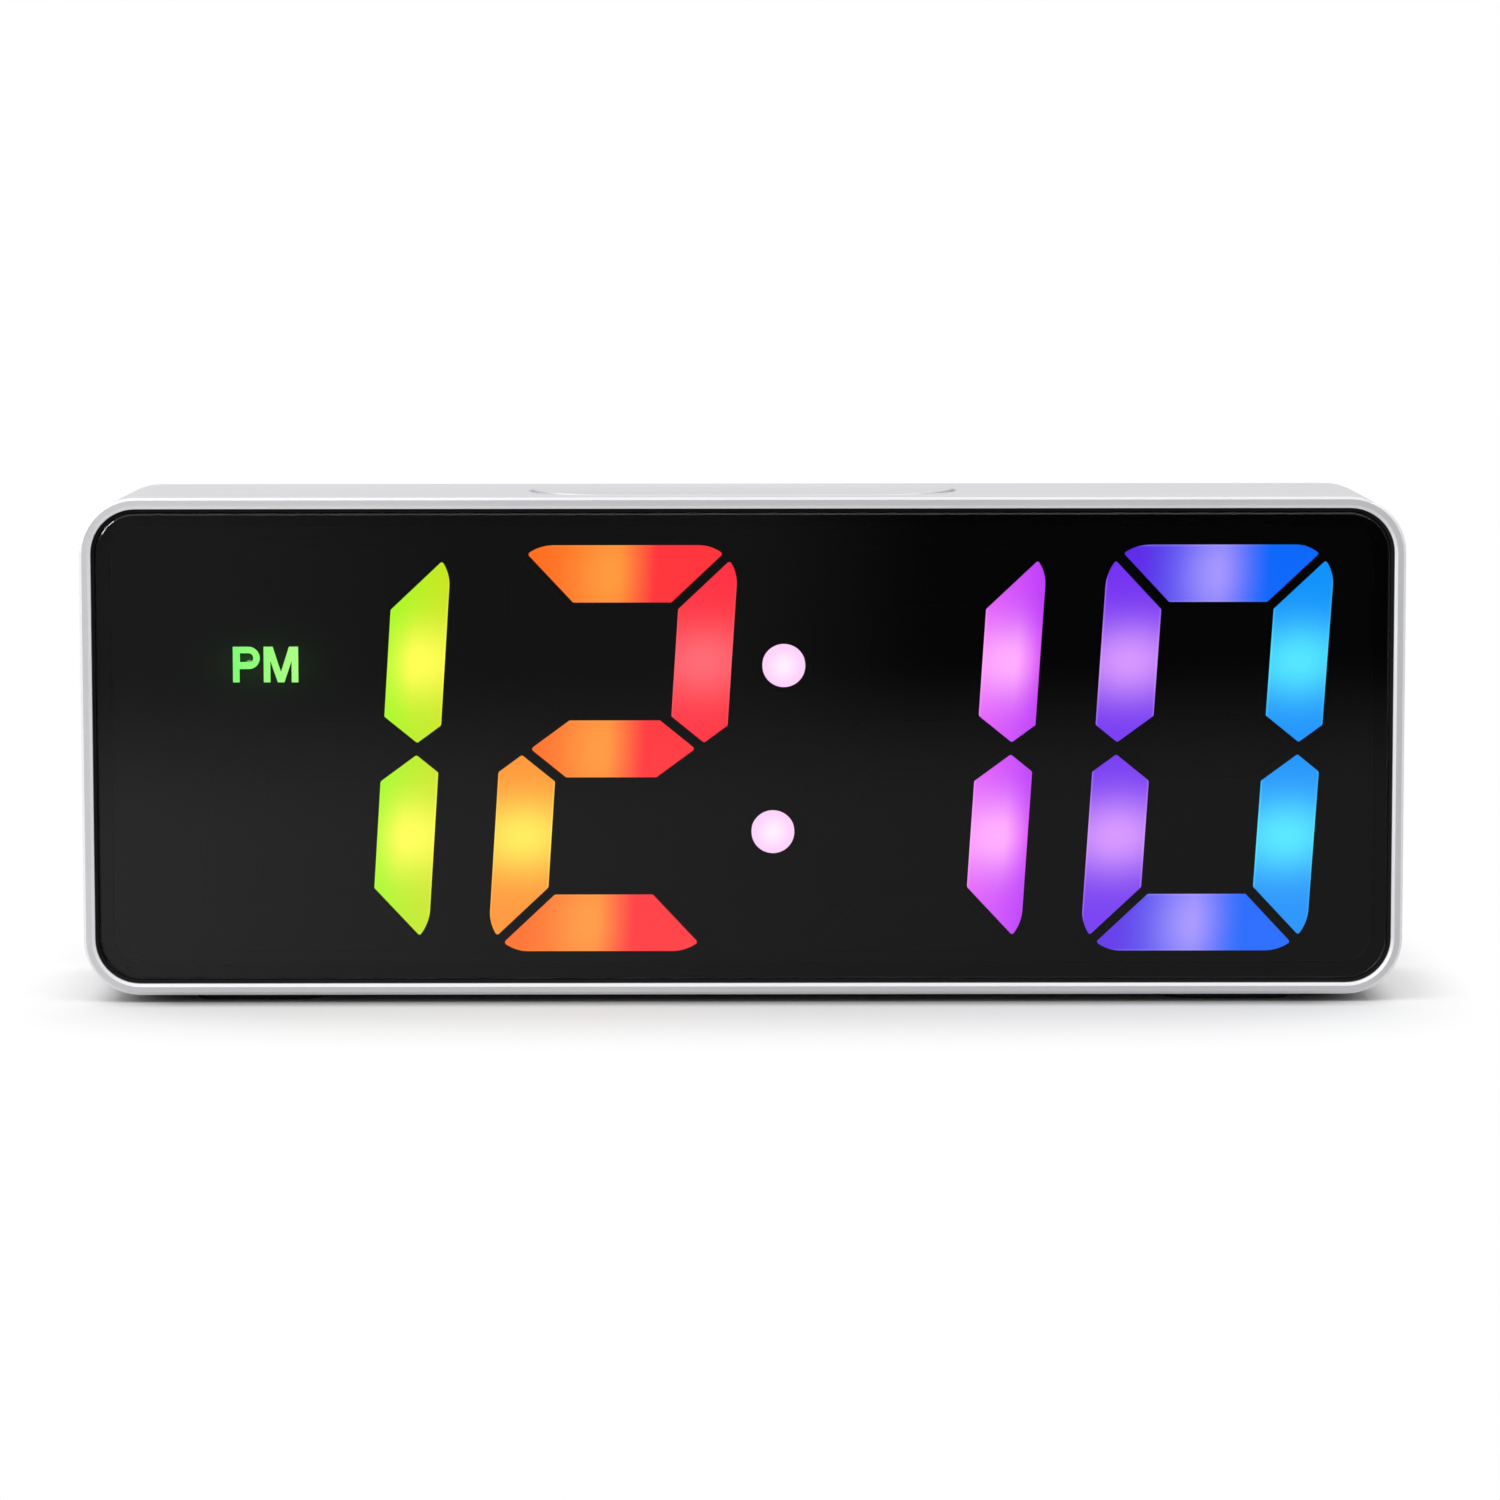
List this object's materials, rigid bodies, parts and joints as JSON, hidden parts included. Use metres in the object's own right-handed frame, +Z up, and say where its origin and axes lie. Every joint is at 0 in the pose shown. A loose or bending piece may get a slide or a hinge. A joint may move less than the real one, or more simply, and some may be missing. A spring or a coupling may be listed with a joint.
{
  "type": "digital led desk clock",
  "caption": "Low silver desk clock with a black window over large slanted coloured digits, a snooze bar on top, rear keys, a power socket and a battery door.",
  "frame": {"origin": "middle of the clock's outline, on the table under its feet", "axes": "+X to the right as the display is read, +Y away from the reader, +Z up"},
  "size_m": [0.165, 0.032, 0.0636],
  "materials": {
    "silver_case": "fine brushed satin",
    "smoked_window": "polished smoked acrylic",
    "black_gasket": "adhesive foam",
    "black_mask": "matte black",
    "lit_green_yellow": "lit diffuser",
    "lit_orange_red": "lit diffuser",
    "lit_magenta": "lit diffuser",
    "lit_blue_violet": "lit diffuser",
    "lit_pink": "lit diffuser",
    "lit_green": "lit diffuser",
    "unlit_diffuser": "tinted diffuser",
    "circuit_board": "solder mask",
    "chip_black": "moulded resin",
    "lamp_white": "moulded lamp",
    "can_sleeve": "printed sleeve",
    "plated_steel": "nickel plated",
    "screw_steel": "zinc plated",
    "black_cover": "fine spark texture",
    "grey_key": "satin",
    "plunger_plastic": "moulded",
    "cell_sleeve": "printed sleeve",
    "red_lead": "insulated wire",
    "black_lead": "insulated wire",
    "foot_rubber": "soft rubber"
  },
  "bodies": {
    "housing": {"case_shell": "silver_case", "display_window": "smoked_window", "window_gasket": "black_gasket", "segment_mask": "black_mask", "hour_tens_lit": "lit_green_yellow", "hour_units_lit": "lit_orange_red", "minute_tens_lit": "lit_magenta", "minute_units_lit": "lit_blue_violet", "colon_lenses": "lit_pink", "pm_indicator": "lit_green", "hour_tens_unlit": "unlit_diffuser", "hour_units_unlit": "unlit_diffuser", "minute_tens_unlit": "unlit_diffuser", "minute_units_unlit": "unlit_diffuser", "main_board": "circuit_board", "key_board": "circuit_board", "controller_chip": "chip_black", "driver_chips": "chip_black", "board_link": "chip_black", "buzzer": "chip_black", "snooze_switch": "chip_black", "key_switches": "chip_black", "usb_tongue": "chip_black", "segment_leds": "lamp_white", "filter_capacitors": "can_sleeve", "crystal_can": "plated_steel", "usb_shell": "plated_steel", "battery_springs": "plated_steel", "battery_contacts": "plated_steel", "cover_screws": "screw_steel", "board_screws": "screw_steel", "key_board_screws": "screw_steel", "rear_cover": "black_cover", "battery_tray": "black_cover", "battery_cells": "cell_sleeve", "positive_lead": "red_lead", "negative_lead": "black_lead", "feet": "foot_rubber"},
    "snooze_button": {"snooze_bar": "silver_case", "snooze_plunger": "plunger_plastic"},
    "battery_hatch": {"battery_door": "black_cover"},
    "mode_button": {"mode_key": "grey_key", "mode_plunger": "plunger_plastic"},
    "up_button": {"up_key": "grey_key", "up_plunger": "plunger_plastic"},
    "down_button": {"down_key": "grey_key", "down_plunger": "plunger_plastic"},
    "alarm_button": {"alarm_key": "grey_key", "alarm_plunger": "plunger_plastic"},
    "colour_button": {"colour_key": "grey_key", "colour_plunger": "plunger_plastic"}
  },
  "joints": [
    {"name": "snooze_press", "type": "slide", "parent": "housing", "child": "snooze_button", "axis": [0, 0, -1], "range_m": [0, 0.0005], "stiffness_N_per_m": 400, "springref_m": -0.0005},
    {"name": "battery_door_hinge", "type": "hinge", "parent": "housing", "child": "battery_hatch", "pos_m": [-0.0439, 0.0156, 0.0141], "axis": [-1, 0, 0], "range_deg": [0, 95]},
    {"name": "mode_press", "type": "slide", "parent": "housing", "child": "mode_button", "axis": [0, -1, 0], "range_m": [0, 0.0004], "stiffness_N_per_m": 150, "springref_m": -0.0005},
    {"name": "up_press", "type": "slide", "parent": "housing", "child": "up_button", "axis": [0, -1, 0], "range_m": [0, 0.0004], "stiffness_N_per_m": 150, "springref_m": -0.0005},
    {"name": "down_press", "type": "slide", "parent": "housing", "child": "down_button", "axis": [0, -1, 0], "range_m": [0, 0.0004], "stiffness_N_per_m": 150, "springref_m": -0.0005},
    {"name": "alarm_press", "type": "slide", "parent": "housing", "child": "alarm_button", "axis": [0, -1, 0], "range_m": [0, 0.0004], "stiffness_N_per_m": 150, "springref_m": -0.0005},
    {"name": "colour_press", "type": "slide", "parent": "housing", "child": "colour_button", "axis": [0, -1, 0], "range_m": [0, 0.0004], "stiffness_N_per_m": 150, "springref_m": -0.0005}
  ]
}
